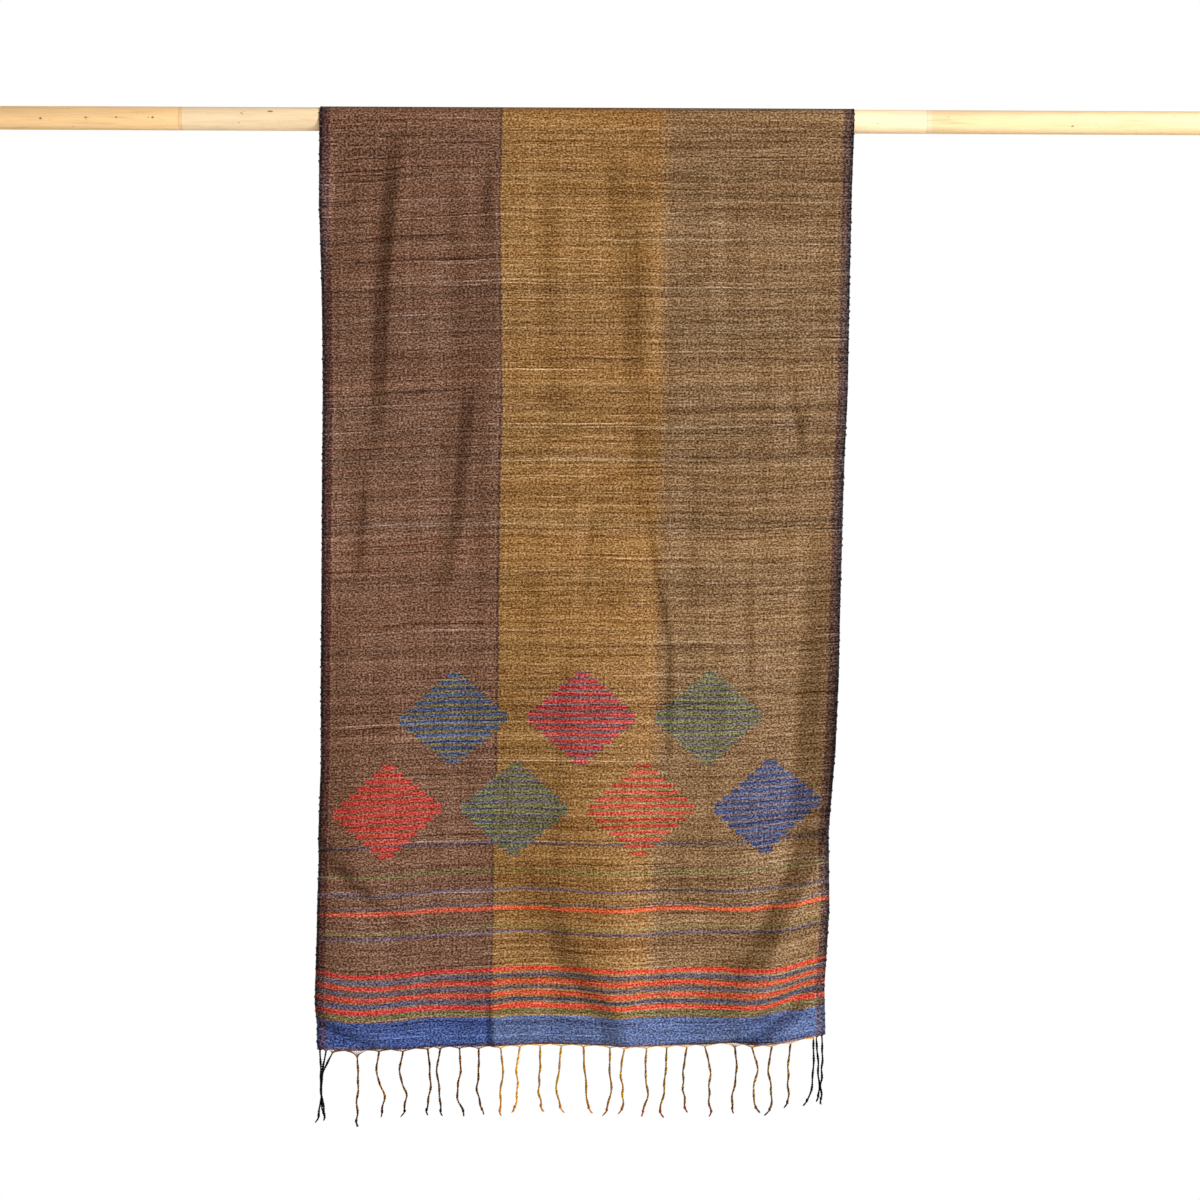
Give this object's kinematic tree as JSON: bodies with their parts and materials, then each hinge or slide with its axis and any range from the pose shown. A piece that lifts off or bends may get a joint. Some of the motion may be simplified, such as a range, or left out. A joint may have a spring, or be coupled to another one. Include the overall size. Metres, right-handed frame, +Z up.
{
  "type": "silk scarf on a wooden rod",
  "caption": "Long handwoven silk scarf with fringed ends, hung over a plain round wooden rod, with soft folds and a striped end band.",
  "frame": {"origin": "on the rod's axis, halfway across the scarf, where the rod is held", "axes": "+X along the rod to the right of someone facing the scarf, +Y away from them, through the front fall to the back fall, +Z up"},
  "size_m": [1.2, 0.0891, 0.9519],
  "materials": {
    "silk_cloth": "raw silk in plain weave, slubby, with a soft sheen; plum, gold and taupe warp bands with red, blue and olive weft stripes",
    "silk_fringe": "twisted silk warp ends, gold, rust and dark brown, knotted at the tips",
    "rod_wood": "pale sanded wood with fine grain and small knots, unvarnished"
  },
  "bodies": {
    "root": {"cloth_front_fall": "silk_cloth", "cloth_over_rod": "silk_cloth", "cloth_back_fall": "silk_cloth", "fringe_front": "silk_fringe", "fringe_back": "silk_fringe", "rod": "rod_wood"}
  },
  "joints": []
}
